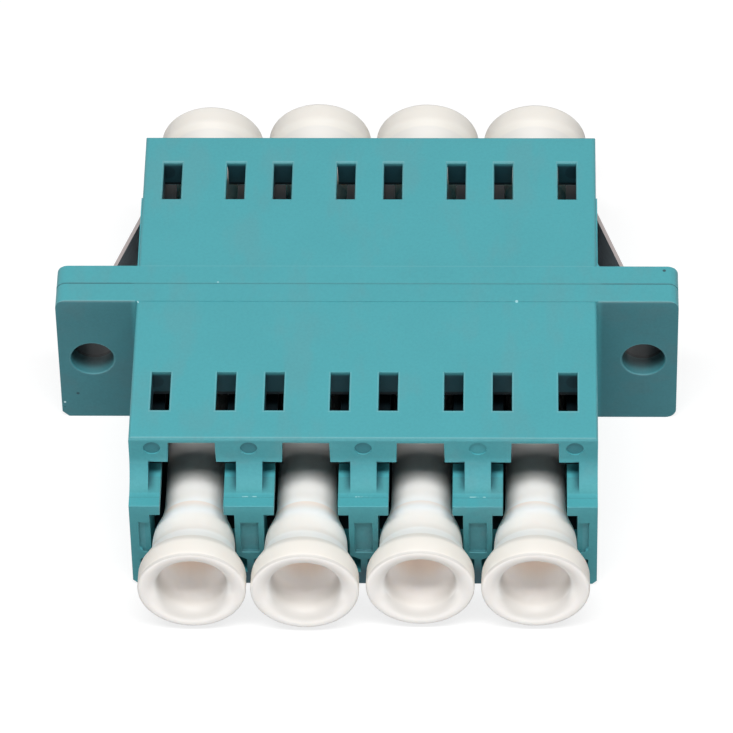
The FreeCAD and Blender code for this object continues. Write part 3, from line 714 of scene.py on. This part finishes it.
def cap_plastic(settings):
    """Soft natural polyethylene, a little waxy and translucent, with painted shade on the flare,
    stem, collar, rim and lip, and painted light down the funnel.
    """
    shader = Shader("soft_cap_plastic")
    across, along, up = shader.axes()
    low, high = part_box(CAPS[0])
    aside, above = PortGrid.offset(across, 0.5), up - (low.z + high.z) / 2
    radius = (aside * aside + above * above).math("SQRT")
    out = along.math("ABSOLUTE")
    cloud = shader.noise(500.0, detail=3.0)
    colour = shader.mix(cloud.between(0.3, 0.7) * 0.3, opaque(settings.colour),
                        opaque([part * 0.97 for part in settings.colour]))
    colour = cap_outside(shader, settings, colour, along, radius)
    # Painted light down the funnel, warm deep inside and lightest half way, with painted shade at
    # its mouth.
    inside = shader.mix(out.between(*FUNNEL_MIDDLE_OUT), opaque(settings.funnel_light_colour),
                        opaque(settings.funnel_middle_light_colour))
    inside = shader.mix(out.between(*FUNNEL_MOUTH_OUT), inside, opaque(settings.lip_shade_colour))
    below = 1.0 - above.between(*LOWER_HALF)
    in_mouth = 1.0 - (radius - below * WIDER_BELOW).between(*FUNNEL_ASIDE)
    funnel = in_mouth * out.between(*FUNNEL_FLOOR_OUT)
    colour = shader.mix(funnel, colour, inside)
    near_face = out.between(*RIM_FACE_OUT)
    # Painted shade on the rim's face.
    ring = shader.facing_ends() * near_face * (1.0 - funnel)
    colour = shader.mix(ring, colour, opaque(settings.ring_colour))
    # Painted shade on the rim's rounded outer edge, less towards the bottom.
    lip_edge = shader.turning_up(0.08, 0.58, 0.96) * near_face * (1.0 - below * 0.35)
    colour = shader.mix(lip_edge, colour, opaque(settings.lip_edge_shade_colour))
    normal = shader.bump(shader.noise(1800.0, detail=3.0), 0.10, 0.01 * MM)
    return shader.finish(Base_Color=colour, Roughness=cloud * 0.1 + 0.45, Normal=normal,
                         Subsurface_Weight=0.4, Subsurface_Scale=0.6 * MM,
                         Subsurface_Radius=(1, 0.9, 0.8))


def clip_steel(settings):
    """Rolled stainless strip, with fine lines along the roll."""
    shader = Shader("rolled_clip_steel")
    lines = shader.noise(900.0, detail=4.0, stretch=(1.0, 1.0, 14.0))
    colour = shader.mix(lines.between(0.3, 0.7), opaque(settings.colour),
                        opaque([part * 0.82 for part in settings.colour]))
    normal = shader.node("ShaderNodeTexCoord", outlet="Normal")
    cut = shader.node("ShaderNodeSeparateXYZ", {}, {0: normal}, outlet="Z").between(0.7, 0.9)
    colour = shader.mix(cut, colour, opaque(settings.cut_colour))
    return shader.finish(Base_Color=colour, Metallic=0.85, Roughness=lines * 0.15 + 0.26,
                         Normal=shader.bump(lines, 0.06, 0.01 * MM))


def sleeve_ceramic(settings):
    """Ground zirconia, with fine rings."""
    shader = Shader("sleeve_ceramic")
    rings = shader.noise(2500.0, detail=2.0, stretch=(1.0, 8.0, 1.0))
    colour = shader.mix(rings, opaque(settings.colour), opaque(settings.ring_colour))
    return shader.finish(Base_Color=colour, Roughness=rings * 0.08 + 0.18)


# The table's own greys, and how much it glows for the camera and in what mirrors it
TABLE_LIGHT, TABLE_DARK = (0.25, 0.25, 0.25), (0.23, 0.23, 0.23)
TABLE_SEEN, TABLE_MIRRORED = 0.78, 0.45


def light_table():
    """White table: the camera sees it white, and it still takes the adapter's shadow."""
    shader = Shader("white_table")
    paper = shader.noise(90.0, detail=4.0)
    colour = shader.mix(paper, opaque(TABLE_LIGHT), opaque(TABLE_DARK))
    diffuse = shader.node("ShaderNodeBsdfDiffuse", {}, {"Color": colour})
    seen = shader.node("ShaderNodeLightPath", outlet="Is Camera Ray")
    glossy = shader.node("ShaderNodeLightPath", outlet="Is Glossy Ray")
    strength = seen * TABLE_SEEN + glossy * TABLE_MIRRORED
    glow = shader.node("ShaderNodeEmission", {}, {"Color": WHITE, "Strength": strength})
    shader.node_output(shader.node("ShaderNodeAddShader", {}, {0: diffuse, 1: glow}))
    return shader.material


# ---------------------------------------------------------------- operators
# Name, place, width, depth and power of each light
SOFTBOXES = (
    ("top_softbox", Vector((0.0, -0.19, 0.6)), 0.7, 0.16, 5.0),
    ("front_softbox", Vector((0.0, -0.6, 0.06)), 1.6, 0.1, 2.7),
)


class ADAPTER_OT_housings(bpy.types.Operator):
    """Give both housing halves their rounded edges and moulded plastic"""
    bl_idname = "adapter.housings"
    bl_label = "Housings"

    def execute(self, context):
        settings = context.scene.adapter_housing
        plastic = housing_plastic(settings)
        for node in HOUSINGS:
            mesh = merged_mesh(node)
            round_ears(mesh, settings.ear_round)
            soften_edges(mesh, settings.edge_break)
            piece = add_piece(f"{node}_moulding", mesh, plastic, node)
            edges = piece.modifiers.new("edges", "BEVEL")
            edges.width = settings.edge_round
            edges.segments = settings.edge_steps
            edges.limit_method = "ANGLE"
            edges.angle_limit = CREASE
            edges.harden_normals = True
        return {"FINISHED"}


class ADAPTER_OT_dust_caps(bpy.types.Operator):
    """Finish every dust cap as a soft moulding"""
    bl_idname = "adapter.dust_caps"
    bl_label = "Dust caps"

    def execute(self, context):
        settings = context.scene.adapter_cap
        plastic = cap_plastic(settings)
        for node in CAPS:
            add_piece(f"{node}_moulding", turned_cap(node, settings), plastic, node)
        return {"FINISHED"}


class ADAPTER_OT_side_clips(bpy.types.Operator):
    """Finish the folded spring clips"""
    bl_idname = "adapter.side_clips"
    bl_label = "Side clips"

    def execute(self, context):
        steel = clip_steel(context.scene.adapter_clip)
        for node in CLIPS:
            add_piece(f"{node}_strip", merged_mesh(node), steel, node)
        return {"FINISHED"}


class ADAPTER_OT_sleeves(bpy.types.Operator):
    """Finish the ceramic sleeves"""
    bl_idname = "adapter.sleeves"
    bl_label = "Sleeves"

    def execute(self, context):
        ceramic = sleeve_ceramic(context.scene.adapter_sleeve)
        for node in SLEEVES:
            add_piece(f"{node}_ceramic", merged_mesh(node), ceramic, node)
        return {"FINISHED"}


class ADAPTER_OT_stage(bpy.types.Operator):
    """Set the white table, the soft lights and the camera"""
    bl_idname = "adapter.stage"
    bl_label = "Stage"

    def execute(self, context):
        settings = context.scene.adapter_stage
        self.add_table(settings.table_size)
        self.set_world(context.scene, settings.room)
        self.add_lights()
        self.add_camera(context.scene, settings)
        context.scene.view_settings.view_transform = "Standard"
        return {"FINISHED"}

    def add_table(self, size):
        mesh = bmesh.new()
        bmesh.ops.create_grid(mesh, x_segments=8, y_segments=8, size=size)
        bmesh.ops.translate(mesh, verts=mesh.verts, vec=(0, 0, CAD_LOW.z))
        data = bpy.data.meshes.new("table")
        mesh.to_mesh(data)
        mesh.free()
        table = bpy.data.objects.new("table", data)
        bpy.context.scene.collection.objects.link(table)
        data.materials.append(light_table())
        table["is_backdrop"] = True

    def set_world(self, scene, room):
        """A dim room for the surfaces, and white for the camera and for reflections."""
        world = bpy.data.worlds.new("studio")
        world.use_nodes = True
        tree = world.node_tree
        background = tree.nodes["Background"]
        background.inputs["Color"].default_value = WHITE
        path = tree.nodes.new("ShaderNodeLightPath")
        mirrored = tree.nodes.new("ShaderNodeMath")
        mirrored.operation = "MAXIMUM"
        tree.links.new(path.outputs["Is Glossy Ray"], mirrored.inputs[0])
        tree.links.new(path.outputs["Is Transmission Ray"], mirrored.inputs[1])
        seen = tree.nodes.new("ShaderNodeMath")
        seen.operation = "MAXIMUM"
        tree.links.new(path.outputs["Is Camera Ray"], seen.inputs[0])
        tree.links.new(mirrored.outputs[0], seen.inputs[1])
        strength = tree.nodes.new("ShaderNodeMapRange")
        strength.inputs["To Min"].default_value = room
        strength.inputs["To Max"].default_value = 1.0
        tree.links.new(seen.outputs[0], strength.inputs["Value"])
        tree.links.new(strength.outputs[0], background.inputs["Strength"])
        scene.world = world

    def add_lights(self):
        centre = (CAD_LOW + CAD_HIGH) / 2
        for name, place, width, depth, power in SOFTBOXES:
            data = bpy.data.lights.new(name, "AREA")
            data.shape = "RECTANGLE"
            data.size = width
            data.size_y = depth
            data.energy = power
            lamp = bpy.data.objects.new(name, data)
            lamp.location = place
            lamp.rotation_euler = (centre - place).to_track_quat("-Z", "Y").to_euler()
            bpy.context.scene.collection.objects.link(lamp)

    def add_camera(self, scene, settings):
        ahead = Vector((math.sin(settings.yaw) * math.cos(settings.elevation),
                        math.cos(settings.yaw) * math.cos(settings.elevation),
                        -math.sin(settings.elevation)))
        level = Vector((math.cos(settings.yaw), -math.sin(settings.yaw), 0.0))
        upright = level.cross(ahead)
        right = level * math.cos(settings.roll) + upright * math.sin(settings.roll)
        up = upright * math.cos(settings.roll) - level * math.sin(settings.roll)
        data = bpy.data.cameras.new("camera")
        data.lens = settings.lens
        data.sensor_width = settings.sensor
        data.clip_start = 0.01
        camera = bpy.data.objects.new("camera", data)
        turn = Matrix((right, up, -ahead)).transposed()
        place = Vector(settings.aim) - ahead * settings.distance
        camera.matrix_world = Matrix.Translation(place) @ turn.to_4x4()
        scene.collection.objects.link(camera)
        scene.camera = camera


class ADAPTER_PT_panel(bpy.types.Panel):
    """Lists the adapter's operators"""
    bl_idname = "ADAPTER_PT_panel"
    bl_label = "Fibre adapter"
    bl_space_type = "VIEW_3D"
    bl_region_type = "UI"
    bl_category = "Adapter"

    def draw(self, context):
        for operator in OPERATORS:
            self.layout.operator(operator.bl_idname)


SETTINGS = {
    "adapter_housing": HousingSettings,
    "adapter_cap": CapSettings,
    "adapter_clip": ClipSettings,
    "adapter_sleeve": SleeveSettings,
    "adapter_stage": StageSettings,
}
OPERATORS = (ADAPTER_OT_housings, ADAPTER_OT_dust_caps, ADAPTER_OT_side_clips, ADAPTER_OT_sleeves,
             ADAPTER_OT_stage)


def register():
    for kind in (*SETTINGS.values(), *OPERATORS, ADAPTER_PT_panel):
        bpy.utils.register_class(kind)
    for name, kind in SETTINGS.items():
        setattr(bpy.types.Scene, name, PointerProperty(type=kind))


def unregister():
    for name in SETTINGS:
        delattr(bpy.types.Scene, name)
    for kind in (ADAPTER_PT_panel, *reversed(OPERATORS), *reversed(SETTINGS.values())):
        bpy.utils.unregister_class(kind)


def main():
    register()
    bpy.ops.adapter.housings()
    bpy.ops.adapter.dust_caps()
    bpy.ops.adapter.side_clips()
    bpy.ops.adapter.sleeves()
    bpy.ops.adapter.stage()
    bpy.context.view_layer.update()


if __name__ == "__main__":
    main()
